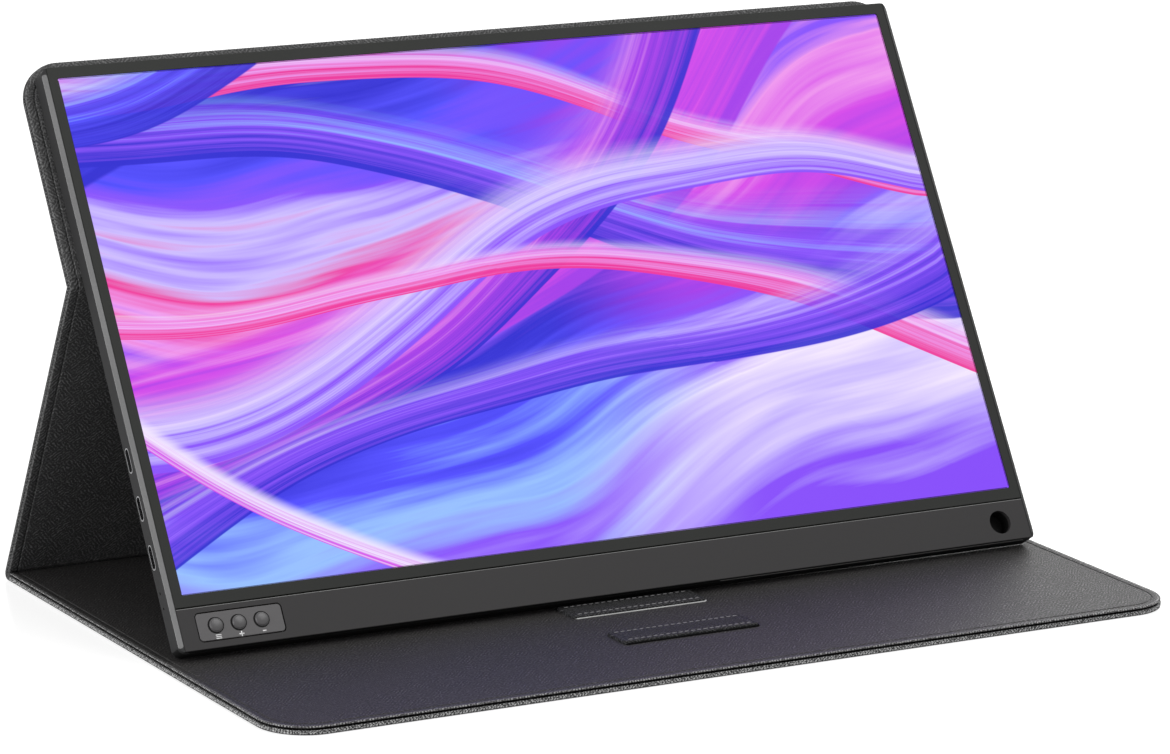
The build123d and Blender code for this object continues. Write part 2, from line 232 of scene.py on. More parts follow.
# Circuit board: green mask over a lattice of faint tracks
def circuitMask(name):
    material, tree, shader = newTree(name)
    spots = add(tree, "TexCoord", {}).outputs["Object"]
    cells = add(tree, "TexVoronoi", {"Vector": spots, "Scale": 260.0, "Randomness": 0.6},
                distance="CHEBYCHEV")
    tracks = spread(tree, cells.outputs["Distance"], 0.42, 0.5, 0, 1)
    colour = ramp(tree, tracks, [(0.0, (0.008, 0.07, 0.03)), (1.0, (0.03, 0.17, 0.07))])
    dress(tree, shader, colour, spread(tree, tracks, 0, 1, 0.32, 0.45), tracks, 0.3, 0.05)
    return material


# Brushed sheet metal: streaks along x, with cloudy gloss
def brushed(name, colour, gloss):
    material, tree, shader = newTree(name)
    spots = add(tree, "TexCoord", {}).outputs["Object"]
    drawn = add(tree, "Mapping", {"Vector": spots, "Scale": (40.0, 1.0, 1.0)})
    streaks = noiseAt(tree, drawn.outputs[0], 40, 4.0, 0.7)
    fine = noiseAt(tree, spots, 900, 2.0)
    level = calc(tree, "ADD", calc(tree, "MULTIPLY", streaks, 0.6), calc(tree, "MULTIPLY", fine, 0.4))
    stops = [(0.3, shade(colour, 0.8)), (0.7, shade(colour, 1.1))]
    roughness = spread(tree, level, 0.3, 0.7, gloss - 0.06, gloss + 0.08)
    dress(tree, shader, ramp(tree, level, stops), roughness, level, 0.08, 0.05)
    shader.inputs["Metallic"].default_value = 1.0
    return material


# The lit picture: fine silk streaks that follow one slow wave, cool on the left and warm on the
# right, with ribbons laid over them. A ribbon is the strip between two waving lines, sharp and deep
# on its lower side, fading on its upper side, with long streaks inside. The rim of the panel is darkened
# as painted shade where the bezel's inner wall meets it.
deepBlue, blue, skyBlue = (0.012, 0.008, 0.62), (0.07, 0.06, 0.98), (0.30, 0.52, 1.0)
violet, purple, magenta = (0.24, 0.07, 0.95), (0.36, 0.03, 0.80), (0.66, 0.05, 0.80)
hotPink, pink, lilac, pearl = (0.85, 0.02, 0.30), (0.85, 0.30, 0.84), (0.60, 0.50, 1.0), (0.90, 0.80, 1.0)
picture = {
    "film": {"Emission Strength": 1.0, "Base Color": (0.004, 0.004, 0.006, 1),
             "Specular IOR Level": 0.06},
    "smears": 9.0, "gloss": (0.16, 0.24),
    "wide": 1.78, "high": 193.6, "rim": 0.2, "rimTone": (0.012, 0.0, 0.02, 1),
    "driftScale": 0.9, "driftRise": 0.22,
    "wave": {"rate": 2.3, "start": 0.5, "rise": 0.15, "slope": -0.12, "drift": 0.35},
    "streaks": ((0.7, 7.0, 0.42), (1.6, 34.0, 0.16)), "rampRise": 0.72, "rampStart": 0.12,
    "warmDrift": 0.8, "warmFrom": 0.75, "warmTo": 1.25,
    "swellRate": 1.7, "swell": 0.35, "ribbonStreaks": (0.6, 9.0), "ribbonContrast": 1.9,
    "sharp": 0.02, "fadeFrom": 0.45, "cover": 0.96,
    "cool": [(0.0, lilac), (0.10, violet), (0.19, skyBlue), (0.27, blue), (0.36, deepBlue), (0.43, violet),
             (0.50, pink), (0.56, hotPink), (0.62, lilac), (0.70, violet), (0.79, blue), (0.88, deepBlue),
             (1.0, lilac)],
    "warm": [(0.0, violet), (0.10, lilac), (0.17, pearl), (0.25, violet), (0.34, purple), (0.44, magenta),
             (0.52, pink), (0.60, violet), (0.72, blue), (0.82, purple), (0.92, magenta), (1.0, violet)],
    # turn in degrees, then height at the left, slope, bend, its rate and phase, width, and tones from the
    # sharp side on
    "ribbons": [
        (30, 0.56, -0.10, 0.16, 2.2, 0.4, 0.34, (deepBlue, blue, lilac)),
        (18, 0.16, 0.12, 0.13, 2.6, 2.1, 0.26, (purple, magenta, pink)),
        (-14, 0.74, 0.10, 0.12, 2.4, 1.2, 0.22, (deepBlue, violet, skyBlue)),
        (-20, 1.0, 0.18, 0.09, 3.1, 0.1, 0.11, (hotPink, pink, pearl)),
        (36, 0.10, -0.05, 0.18, 1.9, 3.0, 0.18, (deepBlue, purple, pink)),
        (8, 0.34, 0.02, 0.15, 2.9, 4.2, 0.13, (violet, lilac, pearl)),
        (-8, 0.58, -0.06, 0.14, 2.2, 5.4, 0.09, (hotPink, pink, pearl)),
        (22, 0.84, 0.04, 0.10, 3.3, 2.6, 0.15, (deepBlue, blue, skyBlue)),
        (12, -0.04, 0.10, 0.10, 2.1, 0.9, 0.15, (deepBlue, violet, lilac)),
        (-26, 0.26, 0.05, 0.11, 2.7, 3.7, 0.07, (magenta, pearl, pearl)),
    ],
}


def smoothShare(tree, value, low, high):
    return add(tree, "MapRange", {"Value": value, "From Min": low, "From Max": high},
               interpolation_type="SMOOTHSTEP").outputs["Result"]


# Share of the picture left near the rim, the rest painted shade, from the distance to the nearest side in
# millimetres
def rimShare(tree, spots):
    u, v = spots.outputs["X"], spots.outputs["Y"]
    near = []
    for spot, size in ((u, picture["high"] * picture["wide"]), (v, picture["high"])):
        gap = calc(tree, "SUBTRACT", 0.5, calc(tree, "ABSOLUTE", calc(tree, "SUBTRACT", spot, 0.5)))
        near.append(calc(tree, "MULTIPLY", gap, size))
    return smoothShare(tree, calc(tree, "MINIMUM", *near), picture["rim"] * 0.3, picture["rim"])


# Background: a colour ramp read along y plus a slow sine of x, broken up by wide and by fine streaks
def streakedSky(tree, x, y, drift):
    wave = picture["wave"]
    swing = calc(tree, "SINE", calc(tree, "MULTIPLY_ADD", x, wave["rate"], wave["start"]))
    flow = calc(tree, "MULTIPLY_ADD", swing, wave["rise"], calc(tree, "MULTIPLY_ADD", x, wave["slope"], y))
    flow = calc(tree, "MULTIPLY_ADD", drift, wave["drift"], flow)
    level = calc(tree, "MULTIPLY_ADD", flow, picture["rampRise"], picture["rampStart"])
    for alongScale, flowScale, strength in picture["streaks"]:
        spot = add(tree, "CombineXYZ", {"X": calc(tree, "MULTIPLY", x, alongScale),
                                        "Y": calc(tree, "MULTIPLY", flow, flowScale)})
        streak = calc(tree, "SUBTRACT", noiseAt(tree, spot.outputs[0], 1.0, 3.0), 0.5)
        level = calc(tree, "MULTIPLY_ADD", streak, strength, level)
    warmth = smoothShare(tree, calc(tree, "MULTIPLY_ADD", drift, picture["warmDrift"], x),
                         picture["warmFrom"], picture["warmTo"])
    cool, warm = (ramp(tree, level, picture[side]) for side in ("cool", "warm"))
    return blendColours(tree, warmth, cool, warm)


# Ribbon: its depth is the height over its lower line as a share of its width, and its tone follows that
# depth, shifted by streaks. It comes in at once over the lower line and fades towards the upper one.
def litPicture(name):
    material, tree, shader = newTree(name)
    spots = add(tree, "SeparateXYZ", {"Vector": add(tree, "TexCoord", {}).outputs["UV"]})
    x = calc(tree, "MULTIPLY", spots.outputs["X"], picture["wide"])
    y = spots.outputs["Y"]
    flat = add(tree, "CombineXYZ", {"X": x, "Y": y}).outputs[0]
    drift = calc(tree, "SUBTRACT", noiseAt(tree, flat, picture["driftScale"], 1.0), 0.5)
    y = calc(tree, "MULTIPLY_ADD", drift, picture["driftRise"], y)
    colour = streakedSky(tree, x, y, drift)
    for step, (turn, rest, slope, bend, rate, phase, wide, tones) in enumerate(picture["ribbons"]):
        turn = math.radians(turn)
        along = calc(tree, "MULTIPLY_ADD", x, math.cos(turn), calc(tree, "MULTIPLY", y, math.sin(turn)))
        rise = calc(tree, "MULTIPLY_ADD", x, -math.sin(turn), calc(tree, "MULTIPLY", y, math.cos(turn)))
        swing = calc(tree, "SINE", calc(tree, "MULTIPLY_ADD", along, rate, phase))
        line = calc(tree, "MULTIPLY_ADD", swing, bend, calc(tree, "MULTIPLY_ADD", along, slope, rest))
        swell = calc(tree, "MULTIPLY_ADD", along, picture["swellRate"], phase * 2 + step)
        width = calc(tree, "MULTIPLY_ADD", calc(tree, "SINE", swell), wide * picture["swell"], wide)
        depth = calc(tree, "DIVIDE", calc(tree, "SUBTRACT", rise, line), width)
        alongScale, depthScale = picture["ribbonStreaks"]
        streakSpot = add(tree, "CombineXYZ", {"X": calc(tree, "MULTIPLY", along, alongScale),
                                              "Y": calc(tree, "MULTIPLY", depth, depthScale),
                                              "Z": float(step)})
        streak = calc(tree, "SUBTRACT", noiseAt(tree, streakSpot.outputs[0], 1.0, 4.0, 0.65), 0.5)
        tone = calc(tree, "MULTIPLY_ADD", streak, picture["ribbonContrast"], depth, clamp=True)
        inside = smoothShare(tree, depth, 0.0, picture["sharp"])
        fade = smoothShare(tree, depth, 1.0, picture["fadeFrom"])
        share = calc(tree, "MULTIPLY", calc(tree, "MULTIPLY", inside, fade), picture["cover"])
        stops = list(zip((0.0, 0.5, 1.0), tones))
        colour = blendColours(tree, share, colour, ramp(tree, tone, stops))
    colour = blendColours(tree, rimShare(tree, spots), picture["rimTone"], colour)
    smear = spread(tree, noiseAt(tree, flat, picture["smears"], 3.0), 0.3, 0.7, *picture["gloss"])
    fill(tree, shader, {"Emission Color": colour, "Roughness": smear})
    for socket, value in picture["film"].items():
        shader.inputs[socket].default_value = value
    return material


# Finishes. Leather: specular level, colour, how much lighter its crests are, roughness, relief, pitch of
# the strokes in millimetres and tone of the painted highlight on rippled crests. Moulded and painted:
# colour, roughness, how fine the grain is, then relief, metallic, specular level and cloudiness where
# they aren't plain.
# Brushed: colour and roughness.
leatherLooks = {
    "outerLeather": (0.16, (0.012, 0.012, 0.0125), 5.0, 0.5, 0.9, 1.1, 0.6),
    "standLeather": (0.16, (0.012, 0.012, 0.0125), 5.0, 0.5, 0.9, 1.1, 0.13),
    "innerLeather": (0.25, (0.0160, 0.0151, 0.0150), 2.9, 0.52, 1.0, 1.2, 0.38),
    # The strut's and the upper panel's linings are lighter copies of the base lining: painted light on their
    # shaded faces and edges
    "strutLeather": (0.24, (0.032, 0.032, 0.0325), 3.6, 0.55, 1.0, 1.2, 0.11),
    "upperLeather": (0.24, (0.053, 0.053, 0.0535), 2.4, 0.55, 1.0, 1.2, 0.13),
    "foldLining": (0.16, (0.016, 0.016, 0.016), 3.0, 0.55, 0.9, 1.2, 0.1),
    "seamShade": (0.05, (0.002, 0.002, 0.002), 1.5, 0.75, 0.4, 0.8),
}
mouldedLooks = {
    "housingMetal": ((0.027, 0.027, 0.0275), 0.62, 2600, 0.2, 0.0, 0.05),
    "cutEdge": ((0.118, 0.118, 0.119), 0.45, 1500, 0.12, 0.3, 0.3, 0.2),
    "darkEdge": ((0.022, 0.022, 0.022), 0.5, 1500, 0.12, 0.3, 0.2, 0.2),
    "seamLine": ((0.16, 0.16, 0.158), 0.45, 1500, 0.12, 0.2, 0.4, 0.3),
    "bezelPlastic": ((0.0155, 0.0165, 0.0150), 0.5, 2200, 0.1, 0.0, 0.14),
    "chinPlastic": ((0.0262, 0.0250, 0.0256), 0.5, 1400, 0.12, 0.0, 0.16),
    "platePlastic": ((0.070, 0.067, 0.069), 0.45, 1800, 0.12, 0.0, 0.3),
    "keyPlastic": ((0.050, 0.048, 0.050), 0.36, 1800, 0.1, 0.0, 0.45),
    "sleevePlastic": ((0.003, 0.003, 0.003), 0.7, 1500, 0.15, 0.0, 0.15),
    "signPaint": ((0.62, 0.62, 0.62), 0.55, 1500, 0.1, 0.0, 0.3),
    "thread": ((0.15, 0.146, 0.15), 0.55, 4200, 0.5, 0.0, 0.35, 0.3),
    "paleWelt": ((0.42, 0.42, 0.42), 0.5, 3000, 0.3, 0.0, 0.4, 0.3),
    "whiteFilm": ((0.8, 0.8, 0.8), 0.5, 900, 0.05),
    "clearPlastic": ((0.7, 0.73, 0.75), 0.12, 900, 0.03),
    "lampStrip": ((0.78, 0.74, 0.5), 0.4, 900, 0.1),
    "displayGlass": ((0.02, 0.02, 0.025), 0.1, 300, 0.01),
    "chipBlack": ((0.012, 0.012, 0.012), 0.55, 3000, 0.3),
    "creamPlastic": ((0.66, 0.6, 0.45), 0.45, 1200, 0.1),
    "amberFilm": ((0.45, 0.2, 0.04), 0.3, 800, 0.05),
    "speakerPlastic": ((0.02, 0.02, 0.02), 0.6, 2200, 0.25),
    "foam": ((0.03, 0.03, 0.03), 0.9, 3200, 0.8),
    "greyBoard": ((0.32, 0.28, 0.22), 0.85, 1500, 0.4, 0.0, 0.5, 0.2),
}
brushedLooks = {
    "socketMetal": ((0.32, 0.32, 0.33), 0.26),
    "traySteel": ((0.5, 0.5, 0.5), 0.38),
    "screwSteel": ((0.42, 0.42, 0.43), 0.32),
    "magnetNickel": ((0.6, 0.59, 0.57), 0.25),
}
finishes = {"circuitMask": circuitMask("circuitMask"), "litPicture": litPicture("litPicture")}
for maker, looks in ((leather, leatherLooks), (moulded, mouldedLooks), (brushed, brushedLooks)):
    finishes |= {name: maker(name, *values) for name, values in looks.items()}
# A finish has its slot's name in camel case, apart from these
slotFinishes = {"screen_film": "litPicture", "light_strip": "lampStrip", "circuit_board": "circuitMask",
                "connector_plastic": "creamPlastic", "flat_cable": "amberFilm", "magnet": "magnetNickel",
                "folio_leather": "outerLeather", "folio_lining": "innerLeather",
                "stiff_board": "greyBoard"}


def finishOf(slot):
    first, *rest = slot.split("_")
    return finishes[slotFinishes.get(slot, first + "".join(word.capitalize() for word in rest))]


for part in frame["record"]["subparts"]:
    mesh = nodes[part["node"]].data
    mesh.materials.clear()
    mesh.materials.append(finishOf(part["material_slot"]))
nodes["button_plate"].data.materials[0] = finishes["platePlastic"]
# The socket contacts take the near-black sleeve finish, darker than their own black: partly painted shade inside
# the ports
nodes["socket_contacts"].data.materials[0] = finishes["sleevePlastic"]
print("made", len(finishes), "finishes")


# Mesh building: a piece from its points, faces, map and share of painted highlight, all worked out beforehand

sharpFrom = 38  # degrees between faces, from which an edge is drawn sharp


def newObject(name, data):
    made = bpy.data.objects.new(name, data)
    bpy.context.scene.collection.objects.link(made)
    return made


def makePiece(name, vertices, faces, mapPlaces, finish, body, replaced=(), rubs=None):
    mesh = bpy.data.meshes.new(name)
    mesh.from_pydata(vertices.tolist(), [], faces)
    work = bmesh.new()
    work.from_mesh(mesh)
    bmesh.ops.recalc_face_normals(work, faces=work.faces)
    work.to_mesh(mesh)
    work.free()
    cornersOfFaces = np.empty(len(mesh.loops), np.int32)
    mesh.loops.foreach_get("vertex_index", cornersOfFaces)
    layer = mesh.uv_layers.new(name="surface")
    layer.data.foreach_set("uv", np.asarray(mapPlaces, np.float32)[cornersOfFaces].ravel())
    if rubs is not None:
        glintLayer = mesh.attributes.new("rub", "FLOAT", "POINT")
        glintLayer.data.foreach_set("value", np.asarray(rubs, np.float32))
    mesh.shade_smooth()
    mesh.set_sharp_from_angle(angle=math.radians(sharpFrom))
    mesh.materials.append(finishes[finish])
    piece = newObject(name, mesh)
    if isinstance(body, str):
        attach(piece, body)
    if replaced:
        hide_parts(*replaced)
    return piece


# Quads between successive rings of equal length, and one flat face across each end
def ringFaces(ringCount, ringLength):
    first = np.arange(ringLength)
    second = (first + 1) % ringLength
    starts = (np.arange(ringCount - 1) * ringLength)[:, None]
    quads = np.stack([starts + first, starts + second, starts + ringLength + second,
                      starts + ringLength + first], axis=-1).reshape(-1, 4)
    last = (ringCount - 1) * ringLength
    return quads.tolist() + [first[::-1].tolist(), (first + last).tolist()]


# Piece from rings of local places in millimetres, whose map is read off two of the local axes
def ringPiece(name, axes, spots, finish, body, replaced=(), faces=None, mapped=(0, 1)):
    local = spots.reshape(-1, 3)
    makePiece(name, place(axes, local), faces or ringFaces(*spots.shape[:2]), local[:, mapped] * mm,
              finish, body, replaced)


def circle(count):  # cosines and sines of equal turns
    angles = np.arange(count) / count * 2 * math.pi
    return np.cos(angles), np.sin(angles)


# Outline of a rounded rectangle drawn in by an inset. Straight sides are shared out evenly and each
# corner is a quarter circle, so outlines of all insets have matching points. An end with no rounding
# is flat: it stays where it is, for a panel that runs on into a fold.
def outline(shape, inset):
    tiny = 0.02  # smallest corner radius
    lowFlat = shape["lowRound"] == 0
    highFlat = shape["highRound"] == 0
    half = shape["half"] - inset
    low = shape["low"] + (0 if lowFlat else inset)
    high = shape["high"] - (0 if highFlat else inset)
    lowSpec = (0, 1) if lowFlat else (max(shape["lowRound"] - inset, tiny), shape["arcSteps"])
    highSpec = (0, 1) if highFlat else (max(shape["highRound"] - inset, tiny), shape["arcSteps"])
    arcs, normals = [], []
    for sideX, sideS, start, (radius, count) in ((-1, -1, 180, lowSpec), (1, -1, 270, lowSpec),
                                                 (1, 1, 0, highSpec), (-1, 1, 90, highSpec)):
        centre = np.array([sideX * (half - radius), (low + radius) if sideS < 0 else (high - radius)])
        angles = np.radians(start + np.linspace(0, 90, count)) if count > 1 else np.array([0.0])
        ways = np.stack([np.cos(angles), np.sin(angles)], -1) if count > 1 else np.array([[sideX, 0.0]])
        arcs.append(centre + radius * ways)
        normals.append(ways)
    counts = [shape["lowCount"], shape["sideCount"], shape["highCount"], shape["sideCount"]]
    sideWays = [(0, 0 if lowFlat else -1), (1, 0), (0, 0 if highFlat else 1), (-1, 0)]
    points, ways = [], []
    for k in range(4):
        start, end = arcs[k][-1], arcs[(k + 1) % 4][0]
        shares = (np.arange(1, counts[k] + 1) / (counts[k] + 1))[:, None]
        points += [arcs[k], start + (end - start) * shares]
        ways += [normals[k], np.tile(np.array(sideWays[k], float), (counts[k], 1))]
    return np.concatenate(points), np.concatenate(ways)


# Settings of an outline, with as many points on each side as its length holds steps
def outlineShape(half, low, high, lowRound, highRound, step=4.0, arcSteps=10):
    flatStep = 4.0
    return {"half": half, "low": low, "high": high, "lowRound": lowRound, "highRound": highRound,
            "arcSteps": arcSteps, "lowCount": int(2 * half / (flatStep if lowRound == 0 else step)) + 1,
            "highCount": int(2 * half / (flatStep if highRound == 0 else step)) + 1,
            "sideCount": int((high - low) / step) + 1}


# Share of painted highlight on an edge: most on the crests of its ripple, and nowhere that has no ripple
def glintShare(phase, ripple):
    return np.clip(0.55 + 0.75 * np.sin(phase), 0, 1) * min(1.0, ripple / 0.03)


# Closed shell: outlines at given insets and heights joined in rings. Where a station has a ripple,
# the outline is pushed in and out and up and down by a sine of the distance walked round it.
# The map unrolls the profile outwards from the first ring, so a pattern runs over the edge.
def shell(name, axes, shape, stations, finish, body, replaced=(), ripplePitch=1.0, unitMap=False):
    start = outline(shape, 0)[0]
    steps = np.linalg.norm(np.roll(start, -1, 0) - start, axis=1)
    walked = np.concatenate([[0], np.cumsum(steps)[:-1]])
    waves = 2 * math.pi * max(1, round(steps.sum() / ripplePitch)) * walked / steps.sum()
    base = outline(shape, stations[0][0])[0]
    rings, maps, rubs, unrolled = [], [], [], 0.0
    for k, (inset, height, ripple, shift) in enumerate(stations):
        points, ways = outline(shape, inset)
        push = ripple * np.sin(waves + shift)
        rubs.append(glintShare(waves + shift, ripple))
        if k:
            unrolled += math.hypot(inset - stations[k - 1][0], height - stations[k - 1][1])
        local = np.column_stack([points + ways * push[:, None], height + np.abs(push) * 0.6])
        rings.append(place(axes, local))
        maps.append((base + ways * unrolled) * mm)
    maps = np.concatenate(maps)
    if unitMap:
        maps = (maps - maps.min(0)) / (maps.max(0) - maps.min(0))
    faces = ringFaces(len(stations), len(start))
    return makePiece(name, np.concatenate(rings), faces, maps, finish, body, replaced,
                     rubs=np.concatenate(rubs))


# Quarter ellipse from one inset and height to another, upright at its start, or else level there.
# Its ripple swells to the middle of the quarter and dies away at both ends.
def quarter(fromPlace, toPlace, steps, ripple=0.0, vertical=True):
    (i0, h0), (i1, h1) = fromPlace, toPlace
    angles = np.linspace(0, math.pi / 2, steps + 1)
    if vertical:
        insets = i0 + (i1 - i0) * (1 - np.cos(angles))
        heights = h0 + (h1 - h0) * np.sin(angles)
    else:
        insets = i0 + (i1 - i0) * np.sin(angles)
        heights = h0 + (h1 - h0) * (1 - np.cos(angles))
    swell = ripple * np.sin(2 * angles)
    return [(float(i), float(h), float(r), 0.0) for i, h, r in zip(insets, heights, swell)]


# Object turned so that it looks against the way "back", with "side" to its right
def placeAimed(name, data, spot, side, back):
    made = newObject(name, data)
    matrix = np.eye(4)
    matrix[:3, :3] = np.column_stack([side, np.cross(back, side), back])
    matrix[:3, 3] = spot
    made.matrix_world = Matrix(matrix.tolist())
    return made


# Camera at the photograph's place, with its roll
camera = {"place": (-0.9607864, -1.6643132, 0.5346486), "azimuth": 29.895, "elevation": -13.281,
          "roll": 1.042, "lens": 168.48, "sensor": 36.0, "nearest": 0.05, "farthest": 50.0}


def makeCamera():
    turn, tilt, roll = (math.radians(camera[key]) for key in ("azimuth", "elevation", "roll"))
    forward = np.array([math.sin(turn) * math.cos(tilt), math.cos(turn) * math.cos(tilt), math.sin(tilt)])
    level = np.array([math.cos(turn), -math.sin(turn), 0.0])
    right = math.cos(roll) * level + math.sin(roll) * np.cross(level, forward)
    data = bpy.data.cameras.new("camera")
    data.lens, data.sensor_width = camera["lens"], camera["sensor"]
    data.clip_start, data.clip_end = camera["nearest"], camera["farthest"]
    bpy.context.scene.camera = placeAimed("camera", data, camera["place"], right, -forward)


makeCamera()
print("camera in place")


# Folio panels: an outer skin with a rolled edge, a seam round the side painted near-black as shade in its
# groove, and an inner lining whose rim is rounded and rippled, with a pressed line that sets off the border
folio = {"foldReach": 3.2, "skinEdge": 1.55, "skinRound": 0.35, "skinTopRound": 0.3, "seamInset": 0.9,
         "liningBase": 0.9, "liningInset": 0.15, "liningRound": 0.4, "ripple": 0.06, "ripplePitch": 1.1,
         "step": 0.34, "baseCorner": 18.0, "topCorner": 15.0, "filledInset": 0.28, "lap": 0.02,
         "cornerSteps": 80, "squareSteps": 8, "wallGap": 0.1, "ledge": 0.2, "skinFoot": 0.3,
         "liningFoot": 1.2,
         # past the bend of the rim: inset, ripple and shift
         "rim": [(0.2, 0.024, 2.0), (0.7, 0.012, 4.0), (1.1, 0, 0)],
         # the pressed line's inset, then places across it and their depths
         "pressedAt": 3.5,
         "pressed": [(-0.6, 0), (-0.35, 0.04), (-0.12, 0.26), (0.12, 0.26), (0.35, 0.04), (0.6, 0),
                     (1.05, 0)]}


# Each station of a profile is an inset from the outline, a height over the panel's middle, the height of
# the ripple there and how far the ripple's phase is shifted
def skinStations():
    low, high = -halfThick, -halfThick + folio["skinEdge"]
    lowRound, topRound, gap = folio["skinRound"], folio["skinTopRound"], folio["wallGap"]
    wave = folio["ripple"]
    wall = [(0.0, low + lowRound + gap, wave, 0.0), (0.0, (low + high) / 2, wave, 1.2),
            (0.0, high - topRound - gap, wave, 2.4)]
    return ([(lowRound + folio["skinFoot"], low, 0.0, 0.0)]
            + quarter((lowRound, low), (0.0, low + lowRound), 4, 0.0, False)
            + wall + quarter((0.0, high - topRound), (topRound, high), 3, wave)
            + [(topRound + folio["ledge"], high, wave / 2, 2.4),
               (folio["seamInset"] + folio["skinFoot"], high, 0.0, 0.0)])


def liningStations():
    top, start, rim = halfThick, folio["liningBase"], folio["liningInset"]
    bend, ledge = folio["liningRound"], folio["ledge"]
    return ([(folio["liningFoot"], start, 0, 0), (rim + ledge, start, 0, 0),
             (rim, start + ledge, folio["ripple"] / 2, 0)]
            + quarter((rim, top - bend), (rim + bend, top), 5, folio["ripple"])
            + [(rim + bend + inset, top, ripple, shift) for inset, ripple, shift in folio["rim"]]
            + [(folio["pressedAt"] + inset, top - depth, 0, 0) for inset, depth in folio["pressed"]])


# The core reaches into skin and lining by a hair
def coreStations(inset, ripple=0.0):
    low, high = -halfThick + folio["skinEdge"] - folio["lap"], folio["liningBase"] + folio["lap"]
    return [(inset, low, ripple, 0), (inset, (low + high) / 2, ripple, 1.0), (inset, high, ripple, 2.0)]


# One panel in three shells over the same outline: skin, seam and lining
def folioPanel(name, axes, low, high, corner, core, skin, lining, body, replaced):
    arcs = folio["cornerSteps"] if corner else folio["squareSteps"]
    shape = outlineShape(halfCover, low, high, 0, corner, folio["step"], arcs)
    shell(name + "Skin", axes, shape, skinStations(), skin, body,
          [replaced + "_skin"], folio["ripplePitch"])
    shell(name + "Seam", axes, shape, core["stations"], core["finish"], body,
          [replaced + "_board"], folio["ripplePitch"])
    shell(name + "Lining", axes, shape, liningStations(), lining, body,
          [replaced + "_lining"], folio["ripplePitch"])


reach = folio["foldReach"]
openSeam = {"stations": coreStations(folio["seamInset"]), "finish": "seamShade"}
filledSeam = {"stations": coreStations(folio["filledInset"], folio["ripple"]), "finish": "standLeather"}
folioPanel("basePanel", baseAxes, reach, baseEnd, folio["baseCorner"], openSeam, "outerLeather",
           "innerLeather", "base", "base")
folioPanel("strutPanel", strutAxes, reach, strutLength - reach, 0, filledSeam, "standLeather",
           "strutLeather", "strut", "strut")
folioPanel("upperPanel", upperAxes, reach, upperEnd, folio["topCorner"], filledSeam, "standLeather",
           "upperLeather", "monitor", "upper_panel")
print("folio panels made")

# Folds: closed bands across each fold line, one each for skin, seam and lining. The section of a band
# lies between two lines, each a flat, an arc and a flat, at a height over the panels' middle. A height
# counts as positive on the lining's side, and the bend is outward at the rear fold's skin and at the
# crease's lining. Each layer has the half width over which it bends, then the height and bend radius of
# its two lines. A radius of 0 is a line that dips between the panels, so that it is flush when opened.
skinTop, liningLow, lap = folio["skinEdge"] - halfThick, folio["liningBase"], folio["lap"]
folds = {
    "rear": {"outward": -1,
             "layers": [("Skin", 1.35, (-halfThick, 2.3), (skinTop, 0.5)),
                        ("Seam", 0.03, (skinTop - lap, 0.5), (liningLow + lap, 0)),
                        ("Lining", 0.03, (liningLow, 0), (halfThick, 0))]},
    "crease": {"outward": 1,
               "layers": [("Skin", 1.2, (-halfThick, 0.7), (skinTop, 0.5 + skinTop)),
                          ("Seam", 1.2, (skinTop - lap, 0.5 + skinTop),
                           (liningLow + lap, 0.5 + liningLow)),
                          ("Lining", 1.2, (liningLow, 0.5 + liningLow), (halfThick, 0.5 + halfThick))]},
    "arcSteps": 16, "flatSteps": 8, "lipSteps": 4, "lipLong": 0.35, "dipHalf": 0.03, "wallOut": 0.04,
}
layerLooks = {
    "Skin": {"stations": skinStations(), "finish": "standLeather", "slot": "folio_leather"},
    "Seam": {"stations": filledSeam["stations"], "finish": "standLeather", "slot": "stiff_board"},
    "Lining": {"stations": liningStations(), "finish": "strutLeather", "slot": "folio_lining"},
}


# Middle of a dipping line, from the bisector of the panels, a way square to it, half their angle and the
# line's height over them: a rounded lip, a wall down the bisector, a bottom, and the same on the far side.
# The steps across the bottom turn by equal parts when the fold opens.
def dippingLine(middle, aside, half, height):
    gap, lip = folds["wallOut"], folds["lipLong"]
    top = (gap * math.cos(half) + height) / math.sin(half)
    share = np.linspace(0, 1, folds["lipSteps"])
    fall = lip * ((1 - share) ** 2 * math.cos(half) - share ** 2)
    edge = np.stack([top + fall, gap + lip * (1 - share) ** 2 * math.sin(half)], -1)
    steps = folds["arcSteps"] + 1 - 2 * folds["lipSteps"]
    aslant = 2 * np.sin(np.arcsin(np.linspace(1, -1, steps)) / 3) * folds["dipHalf"]
    bottom = np.stack([np.full(steps, height), aslant], -1)
    flat = np.concatenate([edge, bottom, (edge * (1, -1))[::-1]])
    return flat[:, :1] * middle + flat[:, 1:] * aside


# Lines of a layer across a fold, one for each height and bend radius: from the end of the first panel
# straight to the bend, round it, and straight to the start of the second panel
def foldLines(firstWay, secondWay, outward, spots):
    first, second = firstWay[1:], secondWay[1:]  # in the plane of y and z
    middle = unit(first + second)
    half = math.acos(float(first @ second)) / 2
    firstNormal, secondNormal = (unit(way * float(middle @ way) - middle) for way in (first, second))
    sweep = np.linspace(0, 1, folds["arcSteps"] + 1)[:, None]
    whole = math.pi - 2 * half
    ways = np.sin((1 - sweep) * whole) * firstNormal + np.sin(sweep * whole) * secondNormal
    ways /= math.sin(whole)
    flat = np.linspace(0, 1, folds["flatSteps"], endpoint=False)[:, None]
    lines = []
    for height, radius in spots:
        offset = outward * height
        arc = middle * (radius - offset) / math.sin(half) + ways * radius
        if radius == 0:
            arc = dippingLine(middle, unit(first - second), half, -offset)
        start = first * reach + offset * firstNormal
        end = second * reach + offset * secondNormal
        lines.append(np.concatenate([start + (arc[0] - start) * flat, arc,
                                     (end + (arc[-1] - end) * flat)[::-1]]))
    return lines
